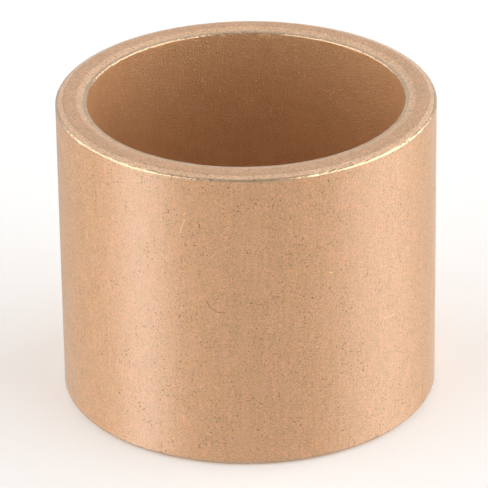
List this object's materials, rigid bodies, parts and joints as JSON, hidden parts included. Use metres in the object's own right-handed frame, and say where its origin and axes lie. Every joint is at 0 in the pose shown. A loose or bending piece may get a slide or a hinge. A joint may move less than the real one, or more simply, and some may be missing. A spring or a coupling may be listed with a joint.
{
  "type": "sleeve bushing",
  "caption": "Plain cylindrical sleeve bushing of porous sintered bronze, a thick-walled tube with lightly chamfered ends that presses into a housing and carries a turning shaft.",
  "frame": {"origin": "centre of the bottom end face, on the bore axis", "axes": "+Z along the bore axis, from the bottom end face to the top end face. +X and +Y are square to the bore, and the part is the same all round"},
  "size_m": [0.03, 0.03, 0.025],
  "materials": {
    "sintered_bronze": "satin, porous, as sintered and sized, with fine dark pores and brighter burnished edges"
  },
  "bodies": {
    "root": {"sleeve": "sintered_bronze"}
  },
  "joints": []
}
